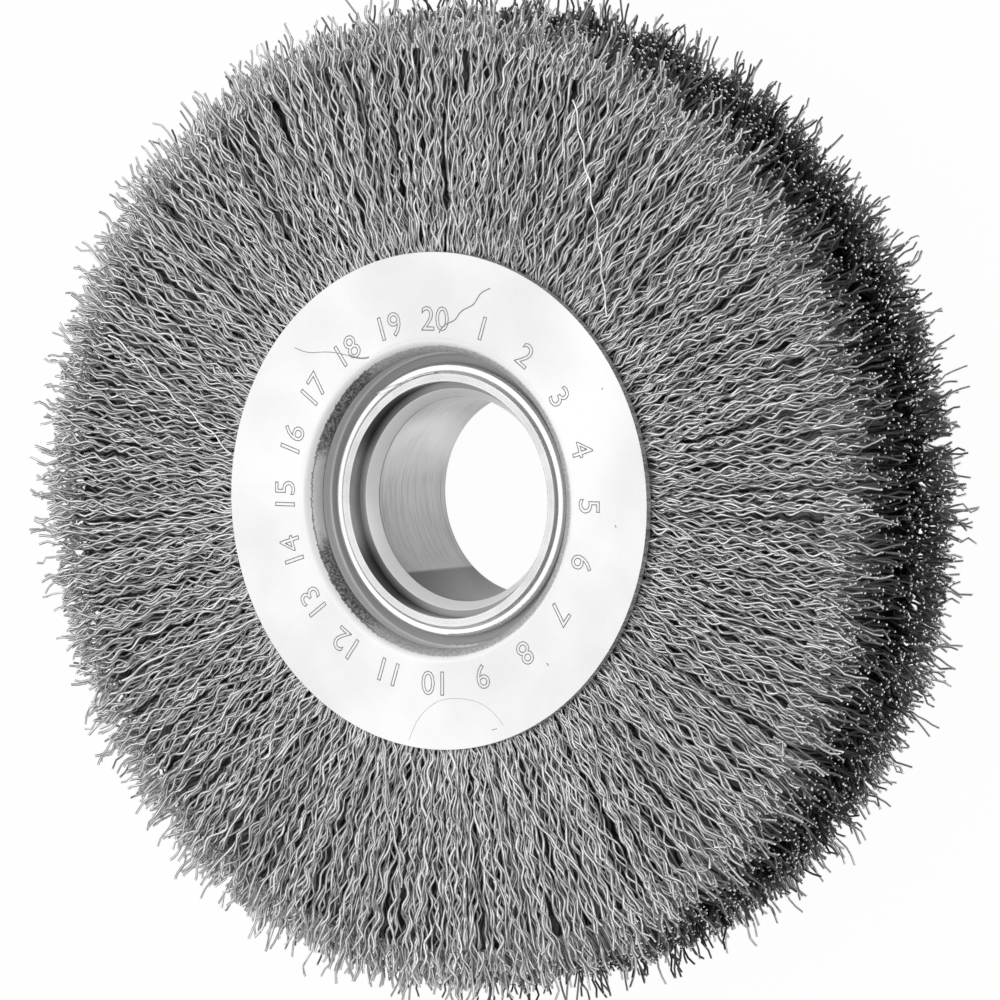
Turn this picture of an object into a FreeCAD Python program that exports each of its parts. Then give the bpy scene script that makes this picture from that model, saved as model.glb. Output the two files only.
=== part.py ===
import FreeCAD, Part
import math
import os

os.makedirs("parts", exist_ok=True)

# A wide wheel brush with crimped wire, in millimetres. The spindle axis is Z, and the origin is
# the middle of the bore. The brush is the same at the front (+Z) and at the rear.

# Overall sizes
BRUSH_DIAMETER = 125.0            # over the wire tips
FACE_WIDTH = 28.0                 # over the wires, front to rear
HUB_WIDTH = 26.4                  # over the two face plates

# Face plates, pressed from sheet with a dish round the hub
PLATE_DIAMETER = 63.0
PLATE_THICKNESS = 1.0
DISH_DIAMETER = 37.6              # inside the dish's wall
DISH_DEPTH = 4.2                  # from the plate's face to the dish's floor
DISH_SHOULDER_RADIUS = 2.0
DISH_FLOOR_RADIUS = 0.6

# Hub sleeve, with a bead rolled over each dish floor
SLEEVE_DIAMETER = 32.1
SLEEVE_WALL = 1.0
SLEEVE_SETBACK = 2.9              # end of the sleeve below the plate's face
BEAD_DIAMETER = 34.8
BEAD_HEIGHT = 1.0                 # above the dish floor
BEAD_ROUNDING = 0.45
GROOVE_WIDTH = 0.4                # between the bead and the sleeve's end
GROOVE_DEPTH = 0.4                # below the top of the bead

# Bore tube, pressed into the sleeve
BORE_DIAMETER = 26.0
BORE_TUBE_SETBACK = 4.2           # end of the bore tube below the plate's face
BORE_CHAMFER = 0.6                # at 45 degrees

# Rings that the wires are folded round, one in each wire section
ANCHOR_RING_DIAMETER = 48.0       # to the middle of its wire
ANCHOR_WIRE_DIAMETER = 3.0
FOLD_FLATS = 8                    # sides of the space that the folded wires leave round a ring

# Crimped wire, standing out in tufts
CRIMP_WAVELENGTH = 4.1
CRIMP_HEIGHT = 0.4                # from the middle line to a crest
TUFTS_PER_SECTION = 34
TUFT_CROWN = 1.7                  # middle of a tuft above its edges, near the rim
GAP_SETBACK = 2.0                 # from the plate's edge to where the tufts part
GAP_WIDTH_AT_ROOT = 0.5
GAP_WIDTH_AT_TIP = 2.2
TUFT_LEAN = 0.8                   # most that a gap wanders sideways on its way to the rim
TIP_RAGGEDNESS = 1.6              # between the longest and the shortest wires
TIP_POINTS = ((0.25, 1), (0.5, 0), (0.75, 1))  # place in the pitch, and share of the raggedness
RIM_BEVEL = 2.0                   # at 45 degrees, where the face's wires end short of the rim
SPREAD_LENGTH = 7.0               # over which the wires spread from the plates to the face width

# Clearances
FIT_CLEARANCE = 0.03              # between parts pressed together
SEAT_CLEARANCE = 0.2              # between the wires and the wall of the dish
ANCHOR_CLEARANCE = 0.1            # between an anchor ring and the wires round it

# Derived places, as radii and as heights above the middle of the brush
plate_radius = PLATE_DIAMETER / 2
plate_face_z = HUB_WIDTH / 2
plate_back_z = plate_face_z - PLATE_THICKNESS
dish_radius = DISH_DIAMETER / 2
dish_back_radius = dish_radius + PLATE_THICKNESS
dish_floor_z = plate_face_z - DISH_DEPTH
sleeve_radius = SLEEVE_DIAMETER / 2
sleeve_bore_radius = sleeve_radius - SLEEVE_WALL
sleeve_end_z = plate_face_z - SLEEVE_SETBACK
bead_top_z = dish_floor_z + BEAD_HEIGHT
bore_radius = BORE_DIAMETER / 2
bore_tube_end_z = plate_face_z - BORE_TUBE_SETBACK
section_bore_radius = dish_back_radius + SEAT_CLEARANCE
root_middle_z = plate_back_z / 2
spread_end_radius = plate_radius + SPREAD_LENGTH
gap_start_radius = plate_radius + GAP_SETBACK
tip_radius = BRUSH_DIAMETER / 2
shortest_tip_radius = tip_radius - TIP_RAGGEDNESS
beyond_tips = tip_radius + TIP_RAGGEDNESS
face_z = FACE_WIDTH / 2
pitch = 2 * math.pi / TUFTS_PER_SECTION
GOLDEN_RATIO = (math.sqrt(5) - 1) / 2


def polar(radius, angle, z=0):
    return FreeCAD.Vector(radius * math.cos(angle), radius * math.sin(angle), z)


def rounded_outline(corners):
    """A closed wire in the XZ plane through corners given as (radius, z, rounding)."""
    edges = []
    count = len(corners)
    starts = []
    ends = []
    arcs = []
    for i in range(count):
        before = FreeCAD.Vector(corners[i - 1][0], 0, corners[i - 1][1])
        here = FreeCAD.Vector(corners[i][0], 0, corners[i][1])
        after = FreeCAD.Vector(corners[(i + 1) % count][0], 0, corners[(i + 1) % count][1])
        rounding = corners[i][2]
        towards_before = (before - here).normalize()
        towards_after = (after - here).normalize()
        half_angle = towards_before.getAngle(towards_after) / 2
        setback = rounding / math.tan(half_angle)
        starts.append(here + towards_before * setback)
        ends.append(here + towards_after * setback)
        inward = (towards_before + towards_after).normalize()
        to_arc = rounding / math.sin(half_angle) - rounding
        arcs.append(here + inward * to_arc)
    for i in range(count):
        if corners[i][2] > 0:
            edges.append(Part.Arc(starts[i], arcs[i], ends[i]).toShape())
        edges.append(Part.LineSegment(ends[i], starts[(i + 1) % count]).toShape())
    return Part.Wire(edges)


def revolved(corners):
    """A solid of revolution about the spindle axis."""
    section = Part.Face(rounded_outline(corners))
    return section.revolve(FreeCAD.Vector(0, 0, 0), FreeCAD.Vector(0, 0, 1), 360)


def mirrored(corners):
    """The corners of an outline's front half, followed by the same for its rear half."""
    return corners + [(radius, -z, rounding) for radius, z, rounding in reversed(corners)]


def turned(shape, axis, angle):
    """A copy turned about an axis through the middle of the brush."""
    return shape.rotated(FreeCAD.Vector(0, 0, 0), axis, math.degrees(angle))


def rear_copy(shape):
    """The part at the rear: the front one turned over about the X axis."""
    return turned(shape, FreeCAD.Vector(1, 0, 0), math.pi)


def face_plate():
    hole_radius = sleeve_radius + FIT_CLEARANCE
    return revolved([
        (plate_radius, plate_face_z, 0),
        (dish_radius, plate_face_z, DISH_SHOULDER_RADIUS),
        (dish_radius, dish_floor_z, DISH_FLOOR_RADIUS),
        (hole_radius, dish_floor_z, 0),
        (hole_radius, dish_floor_z - PLATE_THICKNESS, 0),
        (dish_back_radius, dish_floor_z - PLATE_THICKNESS, DISH_FLOOR_RADIUS + PLATE_THICKNESS),
        (dish_back_radius, plate_back_z, DISH_SHOULDER_RADIUS - PLATE_THICKNESS),
        (plate_radius, plate_back_z, 0),
    ])


def hub_sleeve():
    groove_z = bead_top_z - GROOVE_DEPTH
    bead_radius = BEAD_DIAMETER / 2
    return revolved(mirrored([
        (sleeve_bore_radius, sleeve_end_z, 0),
        (sleeve_radius, sleeve_end_z, 0),
        (sleeve_radius, groove_z, 0),
        (sleeve_radius + GROOVE_WIDTH, bead_top_z, BEAD_ROUNDING / 2),
        (bead_radius, bead_top_z, BEAD_ROUNDING),
        (bead_radius, dish_floor_z, 0),
        (sleeve_radius, dish_floor_z, 0),
    ]))


def bore_tube():
    return revolved(mirrored([
        (bore_radius, bore_tube_end_z - BORE_CHAMFER, 0),
        (bore_radius + BORE_CHAMFER, bore_tube_end_z, 0),
        (sleeve_bore_radius - FIT_CLEARANCE, bore_tube_end_z, 0),
    ]))


def anchor_ring():
    """A ring of round wire in the middle of the front section's root."""
    ring = Part.makeTorus(ANCHOR_RING_DIAMETER / 2, ANCHOR_WIRE_DIAMETER / 2)
    return ring.translated(FreeCAD.Vector(0, 0, root_middle_z))


def anchor_fold():
    """The space that the folded wires leave round their anchor ring: eight flats, clear of it."""
    clear_radius = ANCHOR_WIRE_DIAMETER / 2 + ANCHOR_CLEARANCE
    corner_radius = clear_radius / math.cos(math.pi / FOLD_FLATS)
    corners = []
    for flat in range(FOLD_FLATS):
        angle = (flat + 0.5) * 2 * math.pi / FOLD_FLATS
        radius = ANCHOR_RING_DIAMETER / 2 + corner_radius * math.cos(angle)
        corners.append((radius, root_middle_z + corner_radius * math.sin(angle), 0))
    return revolved(corners)


def spread_of_numbers(index):
    """An even but irregular spread of values between 0 and 1."""
    return (index * GOLDEN_RATIO) % 1


def gap_wall(gap, side):
    """One side of the gap between two tufts, from the root out: both sides follow the crimp."""
    half_wave = CRIMP_WAVELENGTH / 2
    first = gap_start_radius + half_wave * spread_of_numbers(gap)
    crests = int((shortest_tip_radius - first) / half_wave) + 1
    lean = TUFT_LEAN * (2 * spread_of_numbers(gap + 0.5) - 1)
    points = []
    for crest in range(crests):
        radius = first + half_wave * crest
        share = (radius - gap_start_radius) / (tip_radius - gap_start_radius)
        width = GAP_WIDTH_AT_ROOT + (GAP_WIDTH_AT_TIP - GAP_WIDTH_AT_ROOT) * share
        wave = CRIMP_HEIGHT if crest % 2 else -CRIMP_HEIGHT
        offset = wave + lean * share + side * width / 2
        points.append(polar(radius, gap * pitch + offset / radius))
    return points


def tuft_outline():
    """The ragged star that the tufts of one section make, seen along the spindle."""
    points = []
    for tuft in range(TUFTS_PER_SECTION):
        points.extend(gap_wall(tuft, 1))
        for place, share in TIP_POINTS:
            short = TIP_RAGGEDNESS * share * spread_of_numbers(tuft + place)
            points.append(polar(tip_radius - short, (tuft + place) * pitch))
        next_gap = (tuft + 1) % TUFTS_PER_SECTION
        points.extend(reversed(gap_wall(next_gap, -1)))
    return Part.makePolygon(points + [points[0]])


def polygon_round_plates(inner_radius, z):
    """A flat-sided ring line with one side for each tuft, its corners over the gaps."""
    corner_radius = inner_radius / math.cos(pitch / 2)
    corners = [polar(corner_radius, tuft * pitch, z) for tuft in range(TUFTS_PER_SECTION + 1)]
    return Part.makePolygon(corners)


def spread_space():
    """The space over the root, where the wires rise from behind the plate to the face width."""
    at_plate = polygon_round_plates(plate_radius, plate_back_z)
    at_face = polygon_round_plates(spread_end_radius, face_z)
    return Part.makeLoft([at_plate, at_face], True, True)


def crown_groove(gap):
    """A straight groove over one gap, so that each tuft is highest along its middle."""
    half_width = shortest_tip_radius * math.tan(pitch / 2)
    corners = [
        FreeCAD.Vector(plate_radius, 0, face_z - TUFT_CROWN),
        FreeCAD.Vector(plate_radius, 2 * half_width, face_z + TUFT_CROWN),
        FreeCAD.Vector(plate_radius, -2 * half_width, face_z + TUFT_CROWN),
    ]
    section = Part.Face(Part.makePolygon(corners + [corners[0]]))
    groove = section.extrude(FreeCAD.Vector(beyond_tips - plate_radius, 0, 0))
    return turned(groove, FreeCAD.Vector(0, 0, 1), gap * pitch)


def beyond_bevel():
    """The space outside the bevel between the face of the wires and their rim."""
    return revolved([
        (tip_radius - RIM_BEVEL - TIP_RAGGEDNESS, face_z + TIP_RAGGEDNESS, 0),
        (beyond_tips, face_z - RIM_BEVEL - TIP_RAGGEDNESS, 0),
        (beyond_tips, face_z + TIP_RAGGEDNESS, 0),
    ])


def wire_section():
    """The front section of crimped wire, folded round its anchor ring and clamped by the plate."""
    bend_radius = DISH_SHOULDER_RADIUS - PLATE_THICKNESS
    tufts = Part.Face(tuft_outline()).extrude(FreeCAD.Vector(0, 0, face_z))
    seat = revolved([
        (0, 0, 0),
        (section_bore_radius, 0, 0),
        (section_bore_radius, plate_back_z - bend_radius, 0),
        (section_bore_radius + bend_radius, plate_back_z, 0),
        (0, plate_back_z, 0),
    ])
    grooves = [crown_groove(gap) for gap in range(TUFTS_PER_SECTION)]
    return tufts.cut([seat, spread_space(), anchor_fold(), beyond_bevel()] + grooves)


front_plate = face_plate()
front_ring = anchor_ring()
front_section = wire_section()

pieces = {
    "front_face_plate": front_plate,
    "rear_face_plate": rear_copy(front_plate),
    "hub_sleeve": hub_sleeve(),
    "bore_tube": bore_tube(),
    "front_anchor_ring": front_ring,
    "rear_anchor_ring": rear_copy(front_ring),
    "front_wire_section": front_section,
    "rear_wire_section": turned(rear_copy(front_section), FreeCAD.Vector(0, 0, 1), pitch / 2),
}

for node, shape in pieces.items():
    shape.exportStep("parts/" + node + ".step")
    print(node, "volume", round(shape.Volume / 1000, 2), "cm3, valid", shape.isValid())
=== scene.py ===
import math

import bmesh
import bpy
from mathutils import Matrix, Vector


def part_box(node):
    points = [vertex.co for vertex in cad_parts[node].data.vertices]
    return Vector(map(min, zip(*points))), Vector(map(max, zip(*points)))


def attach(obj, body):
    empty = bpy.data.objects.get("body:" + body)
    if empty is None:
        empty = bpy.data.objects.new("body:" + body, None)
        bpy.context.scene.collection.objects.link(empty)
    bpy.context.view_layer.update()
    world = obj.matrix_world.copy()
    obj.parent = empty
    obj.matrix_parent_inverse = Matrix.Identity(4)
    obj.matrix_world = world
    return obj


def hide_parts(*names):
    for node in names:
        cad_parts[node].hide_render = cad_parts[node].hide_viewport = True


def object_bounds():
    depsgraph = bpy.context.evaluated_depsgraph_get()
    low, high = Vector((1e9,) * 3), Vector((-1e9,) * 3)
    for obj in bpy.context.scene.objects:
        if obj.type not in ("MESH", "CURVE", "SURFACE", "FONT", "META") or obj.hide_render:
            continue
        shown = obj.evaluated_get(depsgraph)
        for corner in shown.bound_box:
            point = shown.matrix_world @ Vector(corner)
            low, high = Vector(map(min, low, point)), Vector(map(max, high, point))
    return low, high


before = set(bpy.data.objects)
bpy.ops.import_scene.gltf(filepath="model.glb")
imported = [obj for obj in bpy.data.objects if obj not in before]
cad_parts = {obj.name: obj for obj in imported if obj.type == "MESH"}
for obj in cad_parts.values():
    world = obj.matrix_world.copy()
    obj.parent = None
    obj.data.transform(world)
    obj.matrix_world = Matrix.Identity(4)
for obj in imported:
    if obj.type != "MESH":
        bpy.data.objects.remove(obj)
cad_box = [list(corner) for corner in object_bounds()]
MM = 0.001

# The camera looks down on the wheel from one side of its axis, at the distance from which such a
# thing is usually photographed. Its lens and place put the front plate's centre at the same pixel.
CAMERA_TURN = math.radians(33.06)          # about the upright picture axis, away from the spindle
CAMERA_LIFT = math.radians(3.14)
CAMERA_DISTANCE = 900 * MM
PICTURE_SIDE = 1000                        # pixels
PIXELS_PER_METRE = 7915.5                  # at the front plate's centre
PLATE_CENTRE_PIXEL = (435.0, 501.2)        # from the picture's top left corner
SENSOR_WIDTH = 36.0
FARTHEST_SEEN = 20                         # metres

plate_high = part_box("front_face_plate")[1]
plate_radius = plate_high[0]
plate_face = plate_high[2]

towards_camera = Vector((
    math.sin(CAMERA_TURN) * math.cos(CAMERA_LIFT),
    math.sin(CAMERA_LIFT),
    math.cos(CAMERA_TURN) * math.cos(CAMERA_LIFT),
))
picture_right = Vector((math.cos(CAMERA_TURN), 0, -math.sin(CAMERA_TURN)))
picture_up = towards_camera.cross(picture_right)
to_right = (PICTURE_SIDE / 2 - PLATE_CENTRE_PIXEL[0]) / PIXELS_PER_METRE
upwards = (PLATE_CENTRE_PIXEL[1] - PICTURE_SIDE / 2) / PIXELS_PER_METRE
camera_place = (
    Vector((0, 0, plate_face)) + towards_camera * CAMERA_DISTANCE
    + picture_right * to_right + picture_up * upwards
)
lens_data = bpy.data.cameras.new("camera")
lens_data.sensor_fit = "HORIZONTAL"
lens_data.sensor_width = SENSOR_WIDTH
lens_data.lens = SENSOR_WIDTH * PIXELS_PER_METRE * CAMERA_DISTANCE / PICTURE_SIDE
lens_data.clip_end = FARTHEST_SEEN
camera = bpy.data.objects.new("camera", lens_data)
axes = Matrix((picture_right, picture_up, towards_camera)).transposed()
camera.matrix_world = Matrix.Translation(camera_place) @ axes.to_4x4()
bpy.context.collection.objects.link(camera)
bpy.context.scene.camera = camera


# The studio: a white floor that the wheel lies on, a large soft lamp overhead on the left, a
# smaller one on the right, and a room that is pale overhead and dim towards its walls.
class Number:
    """A number that nodes work out. A sum with it adds a Math node to the same tree."""

    def __init__(self, maker, socket):
        self.maker = maker
        self.socket = socket

    def __add__(self, other):
        return self.maker.maths("ADD", self, other)

    def __radd__(self, other):
        return self.maker.maths("ADD", other, self)

    def __sub__(self, other):
        return self.maker.maths("SUBTRACT", self, other)

    def __rsub__(self, other):
        return self.maker.maths("SUBTRACT", other, self)

    def __mul__(self, other):
        return self.maker.maths("MULTIPLY", self, other)

    def __rmul__(self, other):
        return self.maker.maths("MULTIPLY", other, self)

    def __truediv__(self, other):
        return self.maker.maths("DIVIDE", self, other)

    def __rtruediv__(self, other):
        return self.maker.maths("DIVIDE", other, self)


class NodeMaker:
    """Adds nodes to one tree, which starts empty."""

    def __init__(self, tree):
        self.tree = tree
        tree.nodes.clear()

    def add(self, kind, settings=None, inputs=None):
        """A node of a kind, with its settings made first and its sockets filled or linked."""
        node = self.tree.nodes.new(kind)
        for name, value in (settings or {}).items():
            setattr(node, name, value)
        for name, value in (inputs or {}).items():
            self.fill(node.inputs[name], value)
        return node

    def fill(self, socket, value):
        """Links a socket to a number or another socket, or sets it to a plain value."""
        if isinstance(value, Number):
            self.tree.links.new(value.socket, socket)
        elif isinstance(value, bpy.types.NodeSocket):
            self.tree.links.new(value, socket)
        else:
            socket.default_value = value

    def number(self, node, output=0):
        """One of a node's outputs, ready for sums."""
        return Number(self, node.outputs[output])

    def maths(self, operation, *values):
        node = self.add("ShaderNodeMath", {"operation": operation}, dict(enumerate(values)))
        return self.number(node)

    def share(self, value, low, high):
        """0 below the low value, 1 above the high one, and smooth between."""
        settings = {"interpolation_type": "SMOOTHSTEP"}
        return self.number(self.add("ShaderNodeMapRange", settings, {0: value, 1: low, 2: high}))

    def blend(self, share, first, second):
        """A colour from the first, where the share is 0, to the second, where it is 1."""
        inputs = {0: share, 6: first, 7: second}
        return self.add("ShaderNodeMix", {"data_type": "RGBA"}, inputs).outputs[2]


FLOOR_RADIUS = 4.0
FLOOR_SIDES = 96
FLOOR_GREY = (0.90, 0.90, 0.90, 1)
FLOOR_OWN_LIGHT = 0.97                     # the share of white that no shadow takes away
ROOM_DIM = 0.16
ROOM_PALE = 0.50
PALE_BETWEEN = (-0.1, 0.9)                 # how far up a direction points, where 1 is overhead
# Each lamp: the way to it from the wheel, its distance, its side and its glow, where 1 is white
LAMPS = {
    "overhead_lamp": ((-0.530, 0.100, 0.842), 2.0, 3.0, 1.04),
    "side_lamp": ((0.770, 0.320, 0.545), 2.2, 1.5, 1.0),
}


def object_of(name, shape, finish):
    """A new object of a shape under construction, with its one finish."""
    mesh = bpy.data.meshes.new(name)
    shape.to_mesh(mesh)
    shape.free()
    mesh.materials.append(finish)
    made = bpy.data.objects.new(name, mesh)
    bpy.context.collection.objects.link(made)
    return made


floor_material = bpy.data.materials.new("floor")
floor_material.use_nodes = True
make = NodeMaker(floor_material.node_tree)
seen = make.add("ShaderNodeLightPath")
seen_as_white = make.number(seen, "Is Camera Ray")
for ray in ("Is Glossy Ray", "Is Transmission Ray"):
    seen_as_white = make.maths("MAXIMUM", seen_as_white, make.number(seen, ray))
matt = make.add("ShaderNodeBsdfDiffuse", None, {"Color": FLOOR_GREY})
white = make.add("ShaderNodeEmission", None, {"Color": (1, 1, 1, 1), "Strength": 1.0})
mixed = make.add("ShaderNodeMixShader", None, {
    0: seen_as_white * FLOOR_OWN_LIGHT, 1: matt.outputs[0], 2: white.outputs[0],
})
make.add("ShaderNodeOutputMaterial", None, {0: mixed.outputs[0]})
floor_shape = bmesh.new()
bmesh.ops.create_circle(floor_shape, cap_ends=True, radius=FLOOR_RADIUS, segments=FLOOR_SIDES)
bmesh.ops.translate(floor_shape, verts=floor_shape.verts, vec=(0, 0, cad_box[0][2]))
floor = object_of("floor", floor_shape, floor_material)

room = bpy.data.worlds.new("room")
room.use_nodes = True
bpy.context.scene.world = room
make = NodeMaker(room.node_tree)
direction = make.add("ShaderNodeTexCoord").outputs["Generated"]
direction = make.add("ShaderNodeSeparateXYZ", None, {0: direction})
overhead = make.share(make.number(direction, "Z"), *PALE_BETWEEN)
seen = make.number(make.add("ShaderNodeLightPath"), "Is Camera Ray")
strength = ROOM_DIM + (ROOM_PALE - ROOM_DIM) * overhead
strength = strength + seen * (1 - strength)
background = make.add("ShaderNodeBackground", None, {"Color": (1, 1, 1, 1), "Strength": strength})
make.add("ShaderNodeOutputWorld", None, {0: background.outputs[0]})

for lamp_name, (way, distance, side, glow) in LAMPS.items():
    lamp_data = bpy.data.lights.new(lamp_name, "AREA")
    lamp_data.shape = "SQUARE"
    lamp_data.size = side
    lamp_data.energy = glow * math.pi * side ** 2
    lamp = bpy.data.objects.new(lamp_name, lamp_data)
    facing = Vector(way).to_track_quat("Z", "Y").to_matrix().to_4x4()
    lamp.matrix_world = Matrix.Translation(Vector(way).normalized() * distance) @ facing
    bpy.context.collection.objects.link(lamp)
bpy.context.scene.view_settings.view_transform = "Standard"


# The face plates: sheet steel about a millimetre thick, blanked, dished and zinc plated to a pale
# satin. The sheared edge is grey and streaked, and the pressed dish has a grainy wall. The dish is
# painted paler to lift its shade, and its wall, creases and floor carry painted shade.
ZINC = (0.74, 0.74, 0.74, 1)
ZINC_DULL = (0.66, 0.66, 0.66, 1)
SHEARED_STEEL = (0.62, 0.62, 0.62, 1)
SHEARED_DARK = (0.28, 0.28, 0.28, 1)
# The dish's zinc, painted paler as painted light that lifts the shade in it
DISH_PAINTED_PALE = (0.95, 0.95, 0.95, 1)
# The dish's wall: its grainy stretched zinc with painted shade, and a darker painted shade
STRETCHED_AND_SHADED_ZINC = (0.47, 0.47, 0.47, 1)
WALL_PAINTED_SHADE = (0.10, 0.10, 0.10, 1)
# The dish's wall, below the plate's face, which takes painted shade: its top slopes up to the right
WALL_TOP = 0.30 * MM
WALL_SLOPE = 0.014
WALL_BOTTOM = 2.4 * MM
WALL_OUTSIDE = 20.7 * MM
DISH_FLOOR = 4.0 * MM
# Where the painted shade on the dish's wall turns dark and where the dark ends, in radians from the
# right, either way
DARK_FROM = (2.05, 2.25)
DARK_TO = (2.70, 2.95)


def steel(name, metallic):
    """A new material with a maker for its nodes, its shader and its place on the object."""
    material = bpy.data.materials.new(name)
    material.use_nodes = True
    make = NodeMaker(material.node_tree)
    shader = make.add("ShaderNodeBsdfPrincipled", None, {"Metallic": metallic})
    make.add("ShaderNodeOutputMaterial", None, {0: shader.outputs[0]})
    place = make.add("ShaderNodeTexCoord").outputs["Object"]
    return material, make, shader, place


def parts_of(make, place):
    """The three numbers of a place, in metres."""
    parts = make.add("ShaderNodeSeparateXYZ", None, {0: place})
    return [make.number(parts, axis) for axis in "XYZ"]


def radius_of(make, place):
    """The distance of a place from the spindle axis, in metres, and its height."""
    x, y, height = parts_of(make, place)
    return make.maths("SQRT", x * x + y * y), height


def turn_of(make, place):
    """The angle of a place round the spindle axis, from the right."""
    x, y, height = parts_of(make, place)
    return make.maths("ARCTAN2", y, x)


def noise(make, place, scale, detail=2.0):
    """A soft random pattern about 0.5, with its scale in repeats for each metre."""
    node = make.add("ShaderNodeTexNoise", None, {"Vector": place, "Scale": scale, "Detail": detail})
    return make.number(node, 0)


def add_relief(make, shader, height, strength, depth):
    """Gives a finish a fine relief, so deep in metres."""
    bump = make.add("ShaderNodeBump", None, {"Height": height, "Strength": strength, "Distance": depth})
    make.fill(shader.inputs["Normal"], bump.outputs[0])


def zinc_plate():
    """Pale satin zinc, with a streaked sheared edge and a dish painted pale to lift its shade, whose
    dull, ragged wall, creases and floor take painted shade.
    """
    material, make, shader, place = steel("zinc_plated_plate", 1.0)
    radius, height = radius_of(make, place)
    across = parts_of(make, place)[0]
    turn = make.maths("ABSOLUTE", turn_of(make, place))
    cloud = make.share(noise(make, place, 60, 4), 0.3, 0.75)
    grain = noise(make, place, 5200, 3)
    speckle = make.share(noise(make, place, 3000, 2), 0.38, 0.62)
    colour = make.blend(cloud * 0.12 + 0.10 * speckle, ZINC, ZINC_DULL)

    below = plate_face - make.maths("ABSOLUTE", height)
    dish_painted_pale = make.share(below, 0.01 * MM, 0.06 * MM)
    wall_top = (WALL_TOP - WALL_SLOPE * across) * (0.6 + 0.8 * noise(make, place, 2500, 2))
    on_wall = make.share(below, wall_top, wall_top + 0.10 * MM)
    on_wall = on_wall * (1 - make.share(below, WALL_BOTTOM - 0.1 * MM, WALL_BOTTOM + 0.1 * MM))
    on_wall = on_wall * (1 - make.share(radius, WALL_OUTSIDE - 0.1 * MM, WALL_OUTSIDE + 0.1 * MM))
    ragged = turn + 0.25 * (noise(make, place, 900, 3) - 0.5)
    past_dark = make.share(ragged, *DARK_TO)
    shaded_band = make.share(ragged, *DARK_FROM) * (1 - past_dark)
    # Painted light: the dish is paler and less metallic, to lift the shade in it
    colour = make.blend(dish_painted_pale, colour, DISH_PAINTED_PALE)
    # Painted shade on the wall, partly grainy stretched zinc, lighter far round on the left, darker in
    # bands
    dull_and_shaded = on_wall * (1 - 0.8 * past_dark) * (0.65 + 0.35 * speckle)
    colour = make.blend(dull_and_shaded, colour, STRETCHED_AND_SHADED_ZINC)
    colour = make.blend(on_wall * shaded_band * (0.45 + 0.55 * speckle), colour, WALL_PAINTED_SHADE)
    # Painted shade in the creases at the wall's top and bottom on the left, and on the dish's floor
    from_top = make.maths("ABSOLUTE", below - wall_top - 0.05 * MM)
    from_bottom = make.maths("ABSOLUTE", below - WALL_BOTTOM)
    shaded_crease = 1 - make.share(from_top, 0.02 * MM, 0.12 * MM)
    shaded_crease = shaded_crease + 1 - make.share(from_bottom, 0.04 * MM, 0.12 * MM)
    on_floor = make.share(below, DISH_FLOOR, DISH_FLOOR + 0.15 * MM)
    shaded_crease = make.maths("MAXIMUM", shaded_crease * make.share(ragged, 1.9, 2.2), on_floor)
    colour = make.blend(0.75 * shaded_crease, colour, WALL_PAINTED_SHADE)

    edge = make.share(radius, plate_radius - 0.06 * MM, plate_radius - 0.01 * MM)
    streak_place = make.add("ShaderNodeMapping", None, {"Vector": place, "Scale": (1, 1, 0.08)})
    streaks = make.share(noise(make, streak_place.outputs[0], 3500, 2), 0.35, 0.7)
    colour = make.blend(edge, colour, make.blend(streaks, SHEARED_STEEL, SHEARED_DARK))
    make.fill(shader.inputs["Base Color"], colour)
    make.fill(shader.inputs["Metallic"], 1 - 0.65 * make.maths("MAXIMUM", edge, dish_painted_pale))
    make.fill(shader.inputs["Roughness"], 0.36 + 0.12 * cloud + 0.10 * grain + 0.12 * on_wall)
    add_relief(make, shader, grain, 0.25, 0.03 * MM)
    return material


def finish_node(node, material):
    """Gives a carried-over CAD node its finish."""
    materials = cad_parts[node].data.materials
    materials.clear()
    materials.append(material)


plate_finish = zinc_plate()
finish_node("front_face_plate", plate_finish)
finish_node("rear_face_plate", plate_finish)


# The marks on the front plate: a ring of stamped plain numbers, like the steps of a dial, and the
# prints of two wires that were caught between the plate and the press. All are half sunk in it.
STAMPED_GREY = (0.36, 0.36, 0.36, 1)
NUMBERS = 20
NUMBER_RADIUS = 21.6 * MM                  # to the foot of the digits
NUMBER_SIZE = 4.3 * MM                     # a digit is three quarters as high
STROKE_WIDTH = 0.13 * MM
# Each print: its width and its points on the plate, in mm
PRINTS = (
    (0.10, (
        (-21.5, 19.0), (-19.7, 18.3), (-18.0, 18.5), (-16.1, 18.6), (-14.3, 18.4), (-12.6, 18.0),
    )),
    (0.20, ((-13.0, 18.2), (-12.2, 17.9), (-11.2, 17.7), (-10.1, 18.0))),
    (0.15, (
        (0.6, 21.3), (1.0, 22.0), (1.7, 22.5), (3.0, 22.8), (3.5, 23.6), (4.1, 24.2), (4.9, 24.5),
        (5.9, 24.9), (6.5, 25.9), (6.9, 26.4), (7.5, 26.7), (8.3, 27.0),
    )),
    (0.05, (
        (-4.0, -30.5), (-3.3, -28.9), (-2.6, -27.6), (-1.1, -26.2), (0.7, -25.1), (3.0, -24.8),
        (5.6, -24.9), (7.5, -25.5), (9.0, -26.4), (10.3, -27.9),
    )),
    (0.14, ((26.9, -2.2), (27.0, -2.5))),
    (0.16, ((16.8, -19.8), (17.0, -20.1))),
    (0.12, ((24.9, 14.6), (25.0, 14.9))),
    (0.10, ((8.6, -28.6), (9.3, -28.4))),
)


def stamped_steel():
    """The plate's zinc where a punch or a caught wire dulled it."""
    material, make, shader, place = steel("stamped_zinc", 1.0)
    make.fill(shader.inputs["Base Color"], STAMPED_GREY)
    make.fill(shader.inputs["Roughness"], 0.35 + 0.25 * noise(make, place, 2500, 3))
    return material


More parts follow.
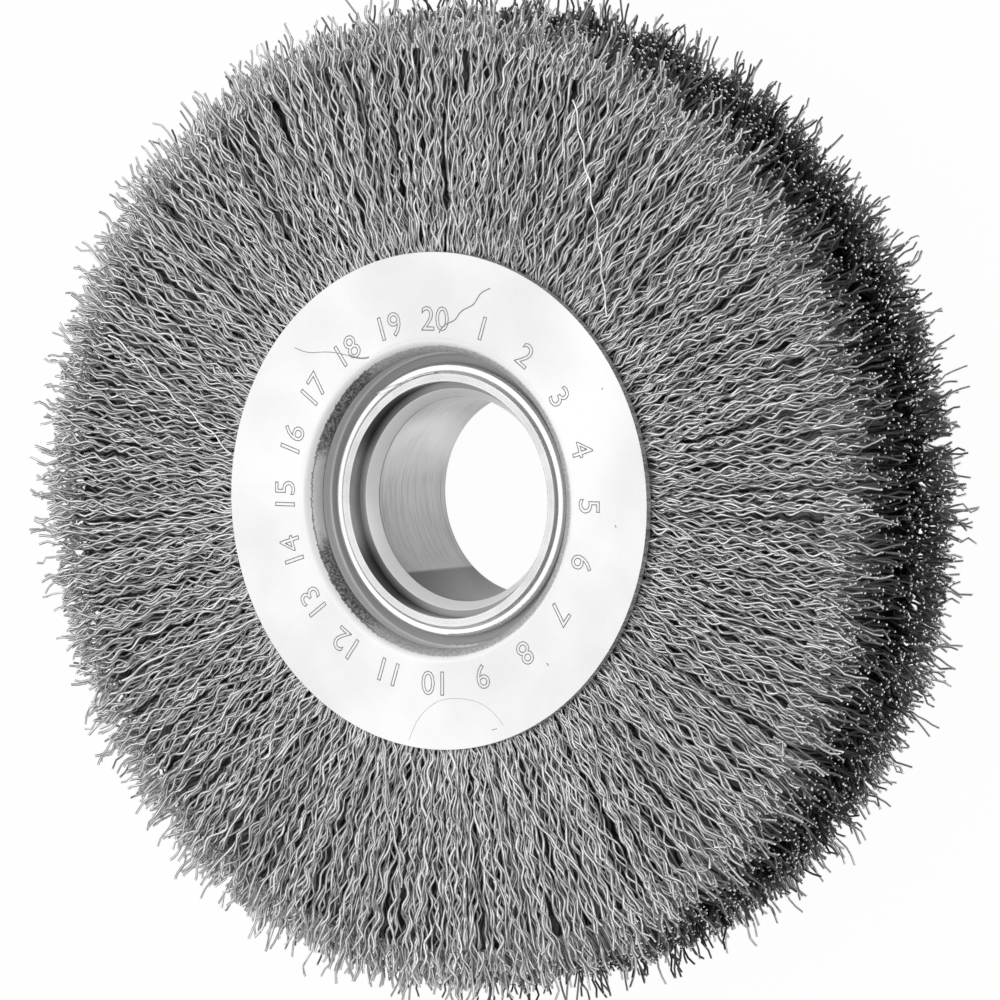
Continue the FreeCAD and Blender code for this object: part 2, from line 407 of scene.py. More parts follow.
def add_mesh_of(curve, matrix, shape):
    """Adds the mesh of a curve or a text, brought to its place, to a shape under construction."""
    curved = bpy.data.objects.new("curved", curve)
    bpy.context.collection.objects.link(curved)
    evaluated = curved.evaluated_get(bpy.context.evaluated_depsgraph_get())
    mesh = bpy.data.meshes.new_from_object(evaluated)
    mesh.transform(matrix)
    shape.from_mesh(mesh)
    bpy.data.objects.remove(curved)


def add_lines(lines, height_at, shape):
    """Adds round lines to a shape under construction, at the height that fits each radius."""
    for width, points in lines:
        line = bpy.data.curves.new("line", "CURVE")
        line.dimensions = "3D"
        line.bevel_depth = width * MM / 2
        line.bevel_resolution = 1
        line.use_fill_caps = True
        spline = line.splines.new("NURBS" if len(points) > 2 else "POLY")
        spline.points.add(len(points) - 1)
        spline.use_endpoint_u = True
        for point, (x, y) in zip(spline.points, points):
            point.co = (x * MM, y * MM, height_at(math.hypot(x, y) * MM), 1)
        add_mesh_of(line, Matrix.Identity(4), shape)


def fix(piece, node=None):
    """Fixes a piece to the wheel, in the place of a node where it stands for one."""
    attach(piece, "root")
    if node:
        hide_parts(node)


marks = bmesh.new()
for number in range(1, NUMBERS + 1):
    text = bpy.data.curves.new("number", "FONT")
    text.body = str(number)
    text.align_x = "CENTER"
    text.size = NUMBER_SIZE
    text.resolution_u = 3
    text.fill_mode = "NONE"
    text.bevel_depth = STROKE_WIDTH / 2
    text.bevel_resolution = 0
    clock = Matrix.Rotation(-number * math.tau / NUMBERS, 4, "Z")
    add_mesh_of(text, clock @ Matrix.Translation((0, NUMBER_RADIUS, plate_face)), marks)
add_lines(PRINTS, lambda radius: plate_face, marks)
fix(object_of("plate_marks", marks, stamped_steel()))


# The hub sleeve: a bright steel tube, with a bead rolled over each dish floor to hold the plates,
# and a frosty cut end inside the bead.
sleeve_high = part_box("hub_sleeve")[1]
bead_radius = sleeve_high[0]
SLEEVE_INSIDE = 15.05 * MM
SLEEVE_OUTSIDE = 16.05 * MM
BRIGHT_STEEL = (0.86, 0.86, 0.86, 1)
FROSTY_STEEL = (0.58, 0.58, 0.58, 1)
FROSTY_BRIGHT = (0.9, 0.9, 0.9, 1)
# Rolling marks, and painted shade down the bead's outer flank
ROLLING_MARKS_AND_SHADE = (0.30, 0.30, 0.30, 1)
SHADED_STEEL = (0.08, 0.08, 0.08, 1)
BEAD_TOP = 3.2 * MM                        # below the plate's face
# Where painted shade on the hub's inner walls deepens and where it lifts again, as for the dish's wall
SHADE_FROM = (1.7, 2.2)
SHADE_TO = (2.55, 2.9)
# The folds that rolling left in the bead: each one's width and its points, in mm
BURRS = (
    (0.16, ((-11.0, 13.3), (-9.3, 14.1), (-7.4, 14.7), (-5.6, 15.3), (-3.9, 15.9), (-2.2, 16.1))),
    (0.10, ((-10.6, 13.0), (-9.0, 13.8), (-8.0, 14.1), (-6.9, 14.8), (-5.9, 15.0), (-4.6, 15.8))),
    (0.12, ((7.4, -14.9), (7.6, -15.3), (8.1, -15.5))),
)


def dull_side(make, place):
    """1 on the two parts of the hub's inner walls that take more painted shade than the part between
    them.
    """
    turn = make.maths("ABSOLUTE", turn_of(make, place))
    return make.share(turn, *SHADE_FROM) * (1 - make.share(turn, *SHADE_TO))


def bright_sleeve():
    """Bright rolled steel, with painted shade down its flank, frosty on the cut end and painted shade
    on its inner wall.
    """
    material, make, shader, place = steel("bright_sleeve", 0.85)
    radius, height = radius_of(make, place)
    grain = noise(make, place, 6000, 3)
    across = make.add("ShaderNodeCombineXYZ", None, {0: radius, 1: height})
    rings = make.share(noise(make, across.outputs[0], 7000, 2), 0.42, 0.60)
    cut_end = 1 - make.share(radius, SLEEVE_OUTSIDE - 0.05 * MM, SLEEVE_OUTSIDE + 0.05 * MM)
    shaded_flank = make.share(radius, bead_radius - 0.30 * MM, bead_radius - 0.15 * MM)
    cloud = make.share(noise(make, place, 260, 3), 0.35, 0.7)
    colour = make.blend(cut_end, BRIGHT_STEEL, make.blend(grain, FROSTY_STEEL, FROSTY_BRIGHT))
    # Rolling marks, and painted shade down the bead's outer flank beside the dish's floor
    colour = make.blend(0.25 * rings + 0.55 * shaded_flank, colour, ROLLING_MARKS_AND_SHADE)
    inner_wall = 1 - make.share(radius, SLEEVE_INSIDE + 0.02 * MM, SLEEVE_INSIDE + 0.10 * MM)
    # Painted shade on the sleeve's inner wall, deepest on two sides
    colour = make.blend(inner_wall * (0.35 + 0.6 * dull_side(make, place)), colour, SHADED_STEEL)
    make.fill(shader.inputs["Base Color"], colour)
    make.fill(shader.inputs["Roughness"], 0.20 + 0.12 * cloud + 0.25 * cut_end)
    add_relief(make, shader, grain, 0.3, 0.02 * MM)
    return material


sleeve_finish = bright_sleeve()
finish_node("hub_sleeve", sleeve_finish)
burrs = bmesh.new()
add_lines(BURRS, lambda radius: plate_face - BEAD_TOP, burrs)
fix(object_of("bead_burrs", burrs, sleeve_finish))


# The bore tube: a thick steel tube pressed into the sleeve. Its bore and its end are turned, which
# leaves fine lines round the axis.
TURNED_STEEL = (0.52, 0.52, 0.52, 1)
TURNED_DARK = (0.24, 0.24, 0.24, 1)
# The chamfer, painted white as painted light that lifts its shade in the dish
CHAMFER_PAINTED_WHITE = (1.0, 1.0, 1.0, 1)
# A paler band towards +Y and a darker colour towards -Y, for the bore
PALE_BAND_STEEL = (0.78, 0.78, 0.78, 1)
DARK_BELOW_STEEL = (0.09, 0.09, 0.09, 1)
TUBE_STEPS = 192
SHARP_EDGE = math.radians(50)
BORE_RADIUS = 13.0 * MM
END_FACE_RADIUS = 14.12 * MM               # inside it the end is chamfered
ROUND_THE_AXIS = 0.03                      # draws a pattern out to lines round the axis
DARK_LEVEL = -9.6 * MM                      # below it the bore is darker
# The tube's outline at the front end, as distance from the spindle and depth below the plate, in mm
TUBE_OUTLINE = (
    (13.0, 6.9), (13.03, 6.75), (13.1, 6.6), (13.98, 5.34), (14.06, 5.25), (14.16, 5.2), (15.02, 5.2),
)
# The rear end has no more than its edge broken
REAR_OUTLINE = ((13.0, 4.45), (13.08, 4.28), (13.25, 4.2), (15.02, 4.2))


def turned_tube():
    """Turned steel with fine lines round it, paler in a band towards +Y and darker towards -Y in the
    bore, with its chamfer painted white to lift its shade and painted shade on its end face.
    """
    material, make, shader, place = steel("turned_tube", 0.9)
    radius = radius_of(make, place)[0]
    x, y, height = parts_of(make, place)
    ring_place = make.add("ShaderNodeCombineXYZ", None, {
        0: x * ROUND_THE_AXIS, 1: y * ROUND_THE_AXIS, 2: height,
    })
    lines = noise(make, ring_place.outputs[0], 7000, 3)
    deep_lines = make.share(noise(make, ring_place.outputs[0], 3300, 1), 0.56, 0.64)
    scored = make.share(-1 * height, 0, 9 * MM) * deep_lines
    stain = make.share(noise(make, place, 120, 4), 0.4, 0.75)
    in_bore = 1 - make.share(radius, BORE_RADIUS + 0.02 * MM, BORE_RADIUS + 0.08 * MM)
    lined = 0.4 * make.share(lines, 0.4, 0.62) + 0.25 * stain + 0.5 * scored
    colour = make.blend(lined, TURNED_STEEL, TURNED_DARK)
    # Paler in a band towards +Y and darker towards -Y in the bore
    pale_band = make.share(y, 1 * MM, 7 * MM) * (1 - make.share(y, 8.4 * MM, 11.6 * MM))
    colour = make.blend(0.75 * pale_band * (1 - 0.5 * stain), colour, PALE_BAND_STEEL)
    darker_below = 1 - make.share(y, DARK_LEVEL - 0.3 * MM, DARK_LEVEL + 0.3 * MM)
    lower = 1 - make.share(y, -9.5 * MM, 3 * MM)
    colour = make.blend(make.maths("MAXIMUM", 0.35 * lower, darker_below), colour, DARK_BELOW_STEEL)
    end_face = make.share(radius, END_FACE_RADIUS - 0.04 * MM, END_FACE_RADIUS + 0.04 * MM)
    shaded = end_face * (0.72 + 0.22 * dull_side(make, place))
    # The chamfer painted white as painted light, and the end face in painted shade, deepest on two
    # sides
    edge = make.blend(shaded, CHAMFER_PAINTED_WHITE, SHADED_STEEL)
    make.fill(shader.inputs["Base Color"], make.blend(in_bore, edge, colour))
    make.fill(shader.inputs["Metallic"], 0.15 + 0.75 * in_bore)
    make.fill(shader.inputs["Roughness"], 0.24 + 0.14 * lines)
    add_relief(make, shader, lines, 0.35, 0.02 * MM)
    return material


def join_rings(shape, rings):
    """Joins each ring of corners to the next one, and the last to the first, with faces outwards."""
    for first, second in zip(rings, rings[1:] + rings[:1]):
        for corner in range(len(first)):
            after = (corner + 1) % len(first)
            shape.faces.new((first[corner], second[corner], second[after], first[after]))
    bmesh.ops.recalc_face_normals(shape, faces=shape.faces)


def lathed(name, outline, steps, finish):
    """A closed ring about the spindle, with its outline as distances and heights in metres."""
    shape = bmesh.new()
    rings = []
    for step in range(steps):
        angle = step * math.tau / steps
        rings.append([
            shape.verts.new((radius * math.cos(angle), radius * math.sin(angle), height))
            for radius, height in outline
        ])
    join_rings(shape, rings)
    ring = object_of(name, shape, finish)
    ring.data.shade_smooth()
    ring.data.set_sharp_from_angle(angle=SHARP_EDGE)
    return ring


front_outline = [(radius * MM, plate_face - depth * MM) for radius, depth in TUBE_OUTLINE]
rear_outline = [(radius * MM, depth * MM - plate_face) for radius, depth in reversed(REAR_OUTLINE)]
bore = lathed("turned_bore_tube", front_outline + rear_outline, TUBE_STEPS, turned_tube())
fix(bore, "bore_tube")


# The anchor rings: plain round steel wire, bent to rings and butt welded. The brush wires are
# folded round them and hide them.
ANCHOR_STEEL = (0.34, 0.34, 0.35, 1)
ANCHOR_SCALE = (0.20, 0.19, 0.18, 1)


def anchor_steel():
    material, make, shader, place = steel("anchor_steel", 1.0)
    stain = make.share(noise(make, place, 300, 4), 0.4, 0.7)
    make.fill(shader.inputs["Base Color"], make.blend(stain, ANCHOR_STEEL, ANCHOR_SCALE))
    make.fill(shader.inputs["Roughness"], 0.35 + 0.25 * stain)
    return material


anchor_finish = anchor_steel()
finish_node("front_anchor_ring", anchor_finish)
finish_node("rear_anchor_ring", anchor_finish)


# The fill: hard-drawn steel wire, crimped to an even wave, folded round the anchor rings and
# clamped by the plates. Each wire leaves from behind a plate and ends in a cut tip at the rim.
brush_radius = cad_box[1][0]
brush_face = cad_box[1][2]
PLATE_THICKNESS = 1.0 * MM
plate_back = plate_face - PLATE_THICKNESS
WIRE_DIAMETER = 0.33 * MM
CRIMP_WAVELENGTH = 4.1 * MM
CRIMP_HEIGHT = 0.40 * MM
WIRE_BRIGHT = (0.92, 0.92, 0.92, 1)
WIRE_DARK = (0.57, 0.57, 0.57, 1)
TIP_BRIGHT = (0.95, 0.95, 0.95, 1)
SHADED_BRIGHT = (0.20, 0.20, 0.20, 1)
SHADED_DARK = (0.01, 0.01, 0.01, 1)
PROFILE_SIDES = 3
CUT_END = 0.20 * MM                        # bright from the cutter
TUBE_RADIUS_SHARE = 0.605                  # makes a three-sided tube as wide as the round wire
FLARE = 2.6                                # how soon the wires reach their full height
SHADED_BETWEEN = (4.5 * MM, 13.0 * MM)     # heights that get no light and all of it
LAST_POINT = 0.999                         # only a wire's last point lies past it
# Each wire and each bunch has a random number of every kind, and each seed has its own set of them
KINDS_IN_A_SET = 40
KINDS = {
    "start": 0, "shortness": 1, "wander": 3, "bunch swing": 4, "swing": 5, "bunch phase": 6,
    "phase": 7, "wavelength": 8, "crimp": 9, "roll": 10, "depth": 11, "shade": 12,
    "bunch shortness": 13, "slip": 14, "tilt": 15, "stray": 16, "stray length": 17, "dives": 18,
    "dive": 19,
}
# How much the wires differ, as shares of their sizes where no other unit is given
SHORT_WIRE, SHORT_BUNCH, SHORT_CLUMP = 0.45, 0.30, 0.25
CORNER_CUT = 0.8
CLUMP_DRIFT = 70                           # clumps for each metre of depth
CLUMP_SIDE_STEP = 0.3                      # clumps
BUNCH_SWING = 0.8
PHASE_SPREAD = 1.9                         # radians
SLIP = 1.4                                 # radians, along each wire
WAVELENGTH_SPREAD = 0.10
LEAST_CRIMP, CRIMP_SPREAD = 0.70, 0.5
ROLL_SPREAD = 1.2                          # radians that the crimp is turned out of the face
TILT_SPREAD = 0.4                          # radians
DEPTH_AT_ROOT = 0.35
LEAST_DIVES, DIVES_SPREAD = 70, 70         # dives between the other wires, for each metre
CLEAR_OF_PLATE = 5                         # a wire dives freely after a fifth of its length
CRIMP_DEPTH = 0.8


def crimped_wire():
    """Wire steel with bright cut tips, dark where the fill is too deep for the light to reach."""
    material, make, shader, place = steel("crimped_wire", 1.0)
    height = parts_of(make, place)[2]
    shade = make.number(make.add("ShaderNodeAttribute", {"attribute_name": "shade"}), "Fac")
    tip = make.number(make.add("ShaderNodeAttribute", {"attribute_name": "tip"}), "Fac")
    stain = make.share(noise(make, place, 420, 3), 0.35, 0.75)
    deep = 1 - make.share(make.maths("ABSOLUTE", height), *SHADED_BETWEEN)
    colour = make.blend(shade * 0.7 + stain * 0.3, WIRE_BRIGHT, WIRE_DARK)
    colour = make.blend(deep, colour, make.blend(shade, SHADED_BRIGHT, SHADED_DARK))
    make.fill(shader.inputs["Base Color"], make.blend(tip, colour, TIP_BRIGHT))
    make.fill(shader.inputs["Metallic"], 1 - 0.7 * deep * (1 - tip))
    make.fill(shader.inputs["Roughness"], 0.30 + 0.15 * stain)
    return material


WIRE_INPUTS = {
    "NodeSocketInt": ("Wires", "Points", "Bunches", "Clumps", "Seed"),
    "NodeSocketFloat": (
        "Root Radius", "Tip Radius", "Tip Raggedness", "Stray Length", "Stray Share", "Root Height",
        "Rim Height", "Depth", "Crimp Wavelength", "Crimp Height", "Wire Diameter", "Weave",
        "Corner", "Gathering", "Clumping", "Lean", "Wander", "Side",
    ),
    "NodeSocketMaterial": ("Finish",),
}


def wire_tree():
    """Crimped wires that stand out round the spindle, in bunches that wave in step."""
    tree = bpy.data.node_groups.new("crimped_wires", "GeometryNodeTree")
    for kind, names in WIRE_INPUTS.items():
        for name in names:
            tree.interface.new_socket(name, in_out="INPUT", socket_type=kind)
    tree.interface.new_socket("Geometry", in_out="OUTPUT", socket_type="NodeSocketGeometry")
    make = NodeMaker(tree)
    given = make.add("NodeGroupInput")

    def size(name):
        return make.number(given, name)

    def chance(index, kind):
        """A number from 0 to 1 that belongs to one wire or bunch."""
        inputs = {"ID": index, "Seed": size("Seed") * KINDS_IN_A_SET + KINDS[kind]}
        return make.number(make.add("FunctionNodeRandomValue", None, inputs), 1)

    def either_way(index, kind):
        """The same from -1 to 1."""
        return chance(index, kind) * 2 - 1

    def uneven(place, amount, times):
        """A place round the wheel, counted in bunches, that is shifted so many times in a turn."""
        return place + amount * make.maths("SINE", start_angle * times)

    def from_middle(place):
        """Where a wire is in its bunch, from -0.5 to 0.5."""
        return place - make.maths("FLOOR", place) - 0.5

    def slow_wave(waves, kind):
        """So many waves from a wire's root to its tip, wherever they start."""
        return make.maths("SINE", (along * waves + chance(wire, kind)) * math.tau)

    spots = make.add("GeometryNodeMeshLine", None, {"Count": size("Wires"), "Offset": (0, 0, 0)})
    stretch = make.add("GeometryNodeCurvePrimitiveLine", None, {"End": (1, 0, 0)})
    stretch = make.add("GeometryNodeResampleCurve", None, {
        "Curve": stretch.outputs[0], "Count": size("Points"),
    })
    wires = make.add("GeometryNodeInstanceOnPoints", None, {
        "Points": spots.outputs[0], "Instance": stretch.outputs[0],
    })
    wires = make.add("GeometryNodeRealizeInstances", None, {0: wires.outputs[0]})

    wire = make.number(make.add("GeometryNodeCurveOfPoint"), "Curve Index")
    factor = make.number(make.add("GeometryNodeSplineParameter"), "Factor")
    tip = make.maths("GREATER_THAN", factor, LAST_POINT)
    start_angle = (wire + chance(wire, "start")) / size("Wires") * math.tau
    depth = size("Depth") * chance(wire, "depth")
    bunch_place = start_angle * size("Bunches") / math.tau
    bunch = make.maths("FLOOR", uneven(bunch_place, amount=0.6, times=37))
    clump_place = uneven(start_angle * size("Clumps") / math.tau, amount=0.35, times=11)
    clump_place = clump_place + CLUMP_DRIFT * depth + CLUMP_SIDE_STEP * size("Side")
    within_clump = from_middle(clump_place)

    short_wire = make.maths("POWER", chance(wire, "shortness"), 1.5)
    short_bunch = make.maths("POWER", chance(bunch, "bunch shortness"), 2)
    short_clump = 4 * within_clump * within_clump
    short = SHORT_WIRE * short_wire + SHORT_BUNCH * short_bunch + SHORT_CLUMP * short_clump
    near_face = make.maths("MAXIMUM", 1 - depth / size("Corner"), 0)
    reach = size("Tip Radius") - size("Root Radius") - size("Tip Raggedness") * short
    reach = reach - CORNER_CUT * size("Corner") * near_face * near_face
    stray = make.maths("LESS_THAN", chance(wire, "stray"), size("Stray Share"))
    reach = reach + stray * size("Stray Length") * chance(wire, "stray length")
    shaded_band = factor * (size("Points") - 1) / (size("Points") - 2)
    along = make.maths("MINIMUM", shaded_band, 1 - (1 - tip) * CUT_END / reach)
    radius = size("Root Radius") + along * reach
    pull = size("Gathering") * along * along
    gathered = start_angle - pull * from_middle(bunch_place) * math.tau / size("Bunches")
    pull = size("Clumping") * along * along * along
    gathered = gathered - pull * within_clump * math.tau / size("Clumps")

    swing = BUNCH_SWING * either_way(bunch, "bunch swing") + either_way(wire, "swing")
    swing = swing + size("Wander") * slow_wave(1.3, "wander")
    phase = chance(bunch, "bunch phase") * math.tau + either_way(wire, "phase") * PHASE_SPREAD
    phase = phase + slow_wave(1.1, "slip") * SLIP
    wavelength = size("Crimp Wavelength") * (1 + WAVELENGTH_SPREAD * either_way(wire, "wavelength"))
    wave = make.maths("SINE", radius / wavelength * math.tau + phase)
    wave = wave * size("Crimp Height") * (LEAST_CRIMP + CRIMP_SPREAD * chance(wire, "crimp"))
    roll = either_way(wire, "roll") * ROLL_SPREAD
    sideways = size("Lean") * along * swing + wave * make.maths("COSINE", roll)

    rise = 1 - make.maths("POWER", 1 - along, FLARE)
    height = size("Root Height") + (size("Rim Height") - size("Root Height")) * rise
    height = height - depth * (DEPTH_AT_ROOT + (1 - DEPTH_AT_ROOT) * rise)
    dives = radius * (LEAST_DIVES + DIVES_SPREAD * chance(wire, "dives")) + chance(wire, "dive")
    clear_of_plate = make.maths("MINIMUM", along * CLEAR_OF_PLATE, 1)
    weave = size("Weave") * (0.5 * make.maths("SINE", dives * math.tau) - 0.5)
    height = height + weave * clear_of_plate
    height = height + CRIMP_DEPTH * wave * make.maths("SINE", roll) * clear_of_plate

    angle = gathered + sideways / radius
    place = make.add("ShaderNodeCombineXYZ", None, {
        0: radius * make.maths("COSINE", angle),
        1: radius * make.maths("SINE", angle),
        2: height * size("Side"),
    })
    bent = make.add("GeometryNodeSetPosition", None, {
        "Geometry": wires.outputs[0], "Position": place.outputs[0],
    })
    upright = make.add("GeometryNodeSetCurveNormal", {"mode": "Z_UP"}, {"Curve": bent.outputs[0]})
    tilt = size("Side") * math.pi / 2 + either_way(wire, "tilt") * TILT_SPREAD
    turned = make.add("GeometryNodeSetCurveTilt", None, {"Curve": upright.outputs[0], "Tilt": tilt})
    shaded = make.add("GeometryNodeStoreNamedAttribute", {"data_type": "FLOAT", "domain": "POINT"}, {
        "Geometry": turned.outputs[0], "Name": "shade", "Value": chance(wire, "shade"),
    })
    tipped = make.add("GeometryNodeStoreNamedAttribute", {"data_type": "FLOAT", "domain": "POINT"}, {
        "Geometry": shaded.outputs[0], "Name": "tip", "Value": tip,
    })
    outline = make.add("GeometryNodeCurvePrimitiveCircle", None, {
        "Resolution": PROFILE_SIDES, "Radius": size("Wire Diameter") * TUBE_RADIUS_SHARE,
    })
    tubes = make.add("GeometryNodeCurveToMesh", None, {
        "Curve": tipped.outputs[0], "Profile Curve": outline.outputs[0], "Fill Caps": True,
    })
    smooth = make.add("GeometryNodeSetShadeSmooth", None, {"Geometry": tubes.outputs[0]})
    joined = make.add("GeometryNodeRealizeInstances", None, {0: smooth.outputs[0]})
    finished = make.add("GeometryNodeSetMaterial", None, {
        "Geometry": joined.outputs[0], "Material": size("Finish"),
    })
    make.add("NodeGroupOutput", None, {0: finished.outputs[0]})
    return tree


grown_wires = wire_tree()
wire_finish = crimped_wire()


def wire_piece(name, node, sizes):
    """One piece of many wires, which stands for a wire section of the model."""
    grower = bpy.data.objects.new(name + "_grower", bpy.data.meshes.new(name + "_grower"))
    bpy.context.collection.objects.link(grower)
    modifier = grower.modifiers.new("wires", "NODES")
    modifier.node_group = grown_wires
    sockets = grown_wires.interface.items_tree
    identifiers = {item.name: item.identifier for item in sockets if item.in_out == "INPUT"}
    for size_name, value in sizes.items():
        modifier[identifiers[size_name]] = value
    evaluated = grower.evaluated_get(bpy.context.evaluated_depsgraph_get())
    mesh = bpy.data.meshes.new_from_object(evaluated)
    bpy.data.objects.remove(grower)
    mesh.name = name
    piece = bpy.data.objects.new(name, mesh)
    bpy.context.collection.objects.link(piece)
    fix(piece, node)


COMMON = {
    "Crimp Wavelength": CRIMP_WAVELENGTH,
    "Crimp Height": CRIMP_HEIGHT,
    "Wire Diameter": WIRE_DIAMETER,
    "Corner": 3.2 * MM,
    "Clumps": 46,
    "Clumping": 0.10,
    "Wander": 0.35,
    "Stray Length": 3.7 * MM,
    "Finish": wire_finish,
}
FACE_WIRES = {
    "Root Radius": 29.5 * MM,
    "Tip Radius": brush_radius + 0.3 * MM,
    "Tip Raggedness": 4.0 * MM,
    "Stray Share": 0.30,
    "Root Height": plate_back - 0.25 * MM,
    "Rim Height": brush_face + 0.1 * MM,
    "Weave": 0.9 * MM,
}
LAYERS = {
    "top": {"Depth": 0.8 * MM, "Bunches": 150, "Gathering": 0.5, "Lean": 1.6 * MM},
    "middle": {"Depth": 1.8 * MM, "Bunches": 150, "Gathering": 0.5, "Lean": 1.5 * MM},
    "lower": {"Depth": 3.2 * MM, "Bunches": 120, "Gathering": 0.4, "Lean": 1.4 * MM},
}
# The wires of each layer and the points along each of them
COUNTS = {
    "front": {"top": (490, 66), "middle": (500, 46), "lower": (560, 27)},
    "rear": {"top": (420, 38), "middle": (440, 30), "lower": (500, 20)},
}
SIDES = (("front", 1.0, "front_wire_section"), ("rear", -1.0, "rear_wire_section"))
seed = 0
for side_name, side, node in SIDES:
    for layer_name, layer in LAYERS.items():
        seed += 1
        sizes = {**COMMON, **FACE_WIRES, **layer, "Side": side, "Seed": seed}
        sizes["Wires"], sizes["Points"] = COUNTS[side_name][layer_name]
        wire_piece(side_name + "_" + layer_name + "_wires", node, sizes)


# The stray wires: a few of the same steel wires that lost most of their crimp. They are clamped
# with the others and lie slanting across them on both faces.
STRAY_WIRES = {
    "Root Radius": 30.5 * MM,
    "Tip Radius": brush_radius - 2.0 * MM,
    "Tip Raggedness": 14.0 * MM,
    "Stray Share": 0.0,
    "Root Height": plate_back,
    "Rim Height": brush_face + 0.2 * MM,
    "Depth": 0.2 * MM,
    "Weave": 0.3 * MM,
    "Crimp Height": 0.20 * MM,
    "Clumping": 0.0,
    "Wander": 0.08,
    "Wires": 14,
    "Points": 50,
    "Bunches": 16,
    "Gathering": 0.0,
    "Lean": 8.0 * MM,
}
for side_name, side, node in SIDES:
    seed += 1
    sizes = {**COMMON, **STRAY_WIRES, "Side": side, "Seed": seed}
    wire_piece(side_name + "_stray_wires", node, sizes)

SUNK = 0.05 * MM                           # between the tops of the other wires
# The two longest on the front: each one's width and its points over the fill, in mm
LONGEST_STRAYS = (
    (0.29, (
        (-32.0, 5.1), (-33.3, 5.8), (-33.9, 7.2), (-34.9, 8.1), (-36.4, 8.6), (-37.2, 9.8),
        (-38.1, 10.9), (-39.5, 11.3), (-40.6, 12.3), (-41.3, 13.6), (-42.7, 14.1), (-43.9, 14.9),
        (-44.5, 16.4), (-45.6, 17.2), (-47.0, 17.6), (-47.9, 18.9), (-48.9, 19.8), (-50.4, 20.1),
    )),
    (0.29, (
        (25.3, 23.8), (25.1, 25.2), (25.4, 26.7), (24.8, 28.1), (24.6, 29.5), (25.1, 31.0),
        (24.6, 32.3), (24.2, 33.7), (24.6, 35.2), (24.1, 36.6), (23.4, 37.9), (23.7, 39.4),
        (23.5, 40.9), (22.6, 42.1), (22.7, 43.6), (22.8, 45.1), (21.9, 46.4), (21.7, 47.8),
        (21.9, 49.3), (21.1, 50.6),
    )),
)


def fill_top(radius):
    """The height of the front of the fill."""
    root, tip = FACE_WIRES["Root Radius"], FACE_WIRES["Tip Radius"]
    low, high = FACE_WIRES["Root Height"], FACE_WIRES["Rim Height"]
    along = (radius - root) / (tip - root)
    rise = 1 - max(1 - along, 0) ** FLARE
    return low + (high - low) * rise - SUNK


longest = bmesh.new()
add_lines(LONGEST_STRAYS, fill_top, longest)
fix(object_of("front_longest_wires", longest, wire_finish), "front_wire_section")


# The wires between the two faces, packed as densely as the others. They stand out from the middle
# of the wheel, so that only their cut ends and a little of their sides show round the rim.
BETWEEN_FACES = {
    "Tip Radius": brush_radius + 0.2 * MM,
    "Root Height": brush_face - 0.2 * MM,
    "Rim Height": brush_face - 0.2 * MM,
    "Depth": brush_face,
    "Weave": 0.3 * MM,
    "Bunches": 150,
    "Gathering": 0.5,
}
RIM_WIRES = {
    "Root Radius": 57.2 * MM,
    "Tip Raggedness": 2.8 * MM,
    "Stray Share": 0.0,
    "Wires": 4300,
    "Points": 5,
    "Lean": 0.8 * MM,
}
LONG_WIRES = {
    "Root Radius": 57.0 * MM,
    "Tip Raggedness": 1.0 * MM,
    "Stray Share": 1.0,
    "Stray Length": 3.5 * MM,
    "Wires": 740,
    "Points": 9,
    "Lean": 1.0 * MM,
    "Crimp Height": 0.32 * MM,
    "Wire Diameter": 0.27 * MM,
}
for side_name, side, node in SIDES:
    for kind, kind_sizes in (("rim", RIM_WIRES), ("long", LONG_WIRES)):
        seed += 1
        sizes = {**COMMON, **BETWEEN_FACES, **kind_sizes, "Side": side, "Seed": seed}
        wire_piece(side_name + "_" + kind + "_wires", node, sizes)


# The imported middle of the fill: a solid of painted shade, nearly black, for the deep shade among
# the same steel wires, where the plates press them so close that only their waves show between the
# wires in front of them, as its painted grey streaks.
CORE_OUTER = 57.0 * MM
CORE_INNER = 26.5 * MM
CORE_DROP = 3.6 * MM                       # below the faces of the fill
CORE_TURNS = 220
CORE_STEPS = 18
CORE_WAVE = 0.25 * MM
CORE_FACE = (9.6 * MM, 10.1 * MM)          # heights where its black rim of painted shade ends and its face begins
CORE_STREAKS = (90, 110, 900)              # how close the streaks lie round, outwards and upwards
CORE_TWIST = 9                             # waves that the streaks slip by in a turn
# The core's black is painted shade; its grey streaks stand for the deeper wires
CORE_PAINTED_SHADE = (0.012, 0.012, 0.012, 1)
CORE_GREY = (0.34, 0.34, 0.34, 1)


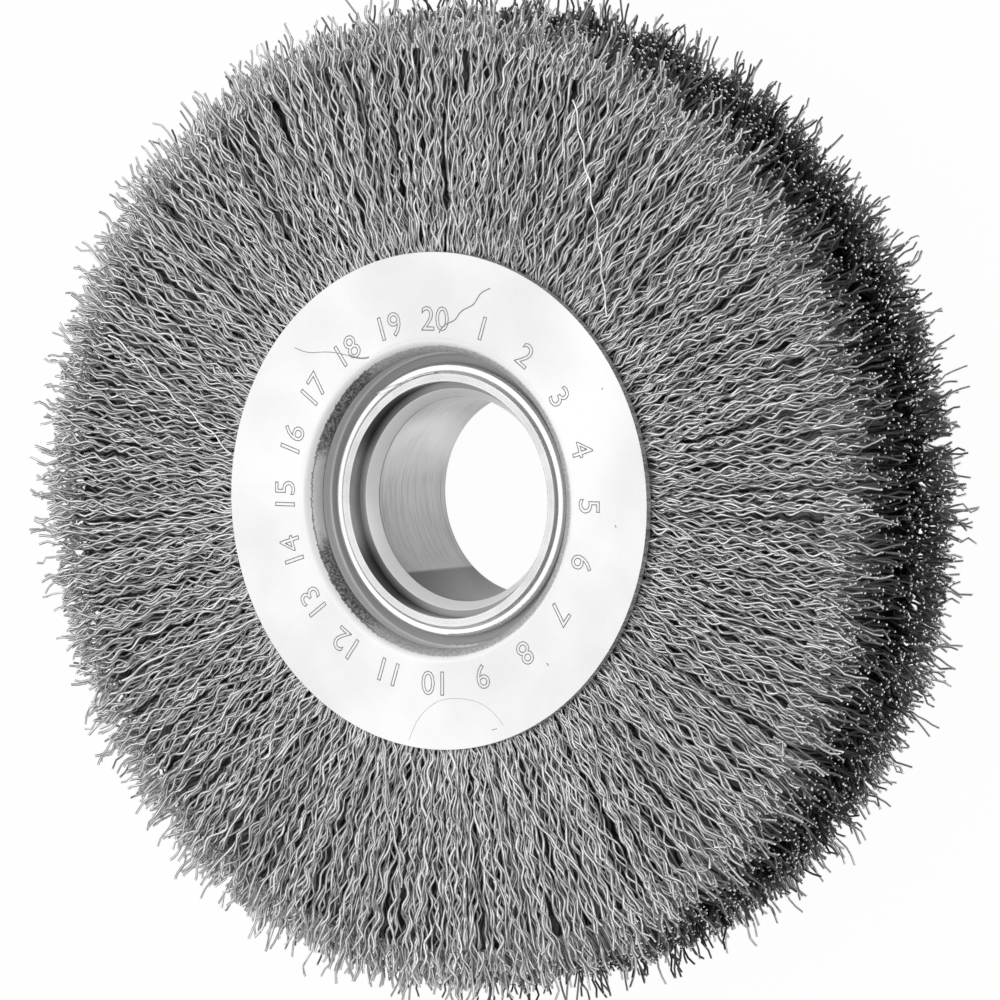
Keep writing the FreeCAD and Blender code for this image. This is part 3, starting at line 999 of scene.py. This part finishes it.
def packed_core():
    """Nearly black as painted shade, with grey streaks on its faces that wave as the wires do."""
    material, make, shader, place = steel("shaded_core_wire", 0.3)
    radius, height = radius_of(make, place)
    turn = turn_of(make, place)
    phase = radius * math.tau / CRIMP_WAVELENGTH + CORE_TWIST * turn
    wave = CRIMP_HEIGHT * make.maths("SINE", phase) / radius
    round_it, outwards, upwards = CORE_STREAKS
    along_wires = make.add("ShaderNodeCombineXYZ", None, {
        0: (turn + wave) * round_it, 1: radius * outwards, 2: height * upwards,
    })
    streaks = make.share(noise(make, along_wires.outputs[0], 1.6, 2), 0.42, 0.66)
    on_face = make.share(make.maths("ABSOLUTE", height), *CORE_FACE)
    # Painted shade: black, with grey streaks on the faces for the deeper wires
    make.fill(shader.inputs["Base Color"], make.blend(streaks * on_face, CORE_PAINTED_SHADE, CORE_GREY))
    make.fill(shader.inputs["Roughness"], 0.5 + 0.3 * streaks)
    return material


def core(name, node, side, finish):
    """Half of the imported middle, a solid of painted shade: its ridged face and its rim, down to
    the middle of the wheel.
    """
    shape = bmesh.new()
    rings = []
    face_height = brush_face - CORE_DROP
    outline = [(CORE_INNER, 0.0)]
    for step in range(CORE_STEPS + 1):
        share = step / CORE_STEPS
        outline.append((CORE_INNER + (CORE_OUTER - CORE_INNER) * share, face_height))
    outline.append((CORE_OUTER, 0.0))
    for radius, height in outline:
        swing = CRIMP_HEIGHT * math.sin(radius * math.tau / CRIMP_WAVELENGTH) / radius
        wave = CORE_WAVE if height else 0
        ring = []
        for turn in range(CORE_TURNS):
            angle = turn * math.tau / CORE_TURNS + swing
            ridged = side * (height + (wave if turn % 2 else -wave))
            place = (radius * math.cos(angle), radius * math.sin(angle), ridged)
            ring.append(shape.verts.new(place))
        rings.append(ring)
    join_rings(shape, rings)
    fix(object_of(name, shape, finish), node)


# Two solids of painted shade under the wires, which stand for the deeper wires
painted_core_finish = packed_core()
core("front_packed_wires", "front_wire_section", 1.0, painted_core_finish)
core("rear_packed_wires", "rear_wire_section", -1.0, painted_core_finish)
